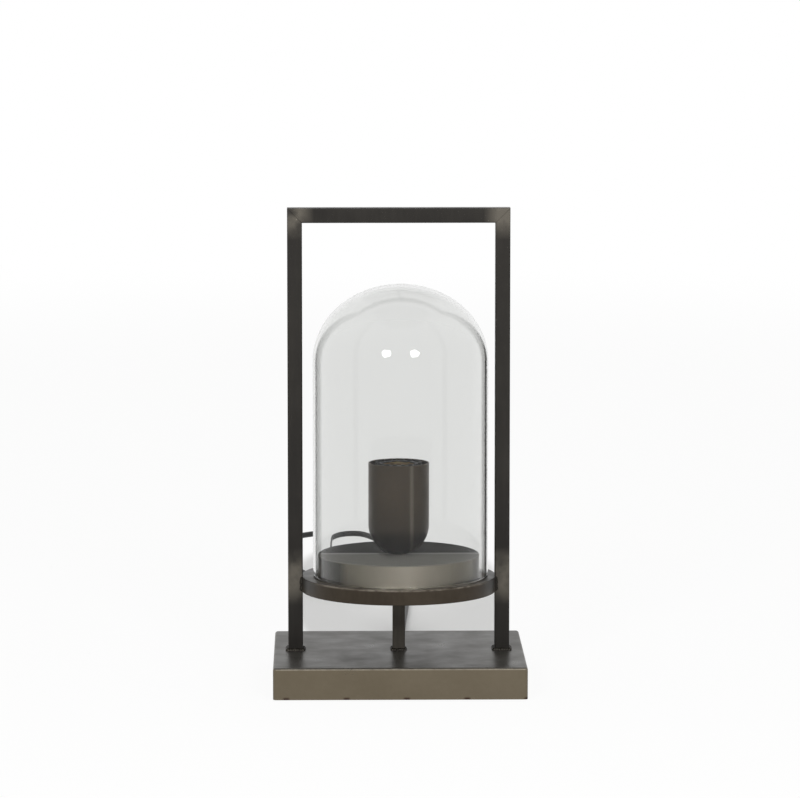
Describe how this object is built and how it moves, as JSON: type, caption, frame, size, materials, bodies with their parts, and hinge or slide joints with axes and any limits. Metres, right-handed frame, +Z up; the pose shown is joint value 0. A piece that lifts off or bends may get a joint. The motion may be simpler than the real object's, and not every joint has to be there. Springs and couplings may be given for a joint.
{
  "type": "lantern table lamp",
  "caption": "Table lamp with a clear glass dome in a square steel frame, on a low box base, with a switched mains lead.",
  "frame": {"origin": "on the table, under the middle of the base", "axes": "+Z up, -Y to the front, +X to the right seen from the front"},
  "size_m": [0.21, 0.9031, 0.4],
  "materials": {
    "base_steel": "satin, warm grey, patinated",
    "inner_steel": "matt grey",
    "screw_steel": "zinc plated",
    "felt": "felt",
    "frame_steel": "dark patinated steel, satin",
    "weld_steel": "sanded weld",
    "tray_steel": "dark patinated steel, satin",
    "drum_steel": "satin, grey",
    "cup_steel": "brown grey, satin",
    "brass": "plain",
    "holder_plastic": "black phenolic",
    "ceramic": "glazed",
    "clear_glass": "clear",
    "black_rubber": "matt",
    "nylon": "nylon",
    "conductor_jacket": "insulation",
    "glass_fibre": "woven sleeve",
    "black_plastic": "satin black",
    "rocker_plastic": "black",
    "nickel_pins": "nickel plated"
  },
  "bodies": {
    "stand": {"base_shell": "base_steel", "base_pan": "inner_steel", "base_pillars": "inner_steel", "pan_screws": "screw_steel", "felt_feet": "felt", "left_post": "frame_steel", "right_post": "frame_steel", "top_bar": "frame_steel", "post_welds": "weld_steel", "tray_stem": "frame_steel", "stem_welds": "weld_steel", "glass_tray": "tray_steel", "tray_welds": "weld_steel", "glass_drum": "drum_steel", "tray_nut": "brass", "threaded_tube": "brass", "holder_cup": "cup_steel", "cup_washer": "screw_steel", "cup_nut": "brass", "holder_cap": "holder_plastic", "contact_block": "ceramic", "terminals": "brass", "terminal_screws": "screw_steel", "centre_contact": "brass", "screw_shell": "brass", "holder_ring": "holder_plastic", "cord_relief": "black_rubber", "lead_sheath": "black_rubber", "cord_tab": "inner_steel", "cable_tie": "nylon", "inner_wires": "conductor_jacket", "wire_sleeve": "glass_fibre", "cord_lead": "black_rubber", "switch_base": "black_plastic", "switch_cover": "black_plastic", "rocker_pin": "screw_steel", "switch_screws": "screw_steel", "switch_contacts": "brass", "switch_wires": "conductor_jacket", "switch_reliefs": "black_rubber", "cord_sweep": "black_rubber", "cord_coil": "black_rubber", "coil_straps": "nylon", "cord_tail": "black_rubber", "plug_relief": "black_rubber", "plug_body": "black_plastic", "plug_pins": "nickel_pins", "pin_sleeves": "black_plastic"},
    "glass": {"glass_dome": "clear_glass"},
    "rocker": {"switch_rocker": "rocker_plastic"}
  },
  "joints": [
    {"name": "glass_lift", "type": "slide", "parent": "stand", "child": "glass", "axis": [0, 0, 1], "range_m": [0, 0.045]},
    {"name": "rocker_tilt", "type": "hinge", "parent": "stand", "child": "rocker", "pos_m": [0.0125, 0.565, 0.0122], "axis": [1, 0, 0], "range_deg": [0, 14]}
  ]
}
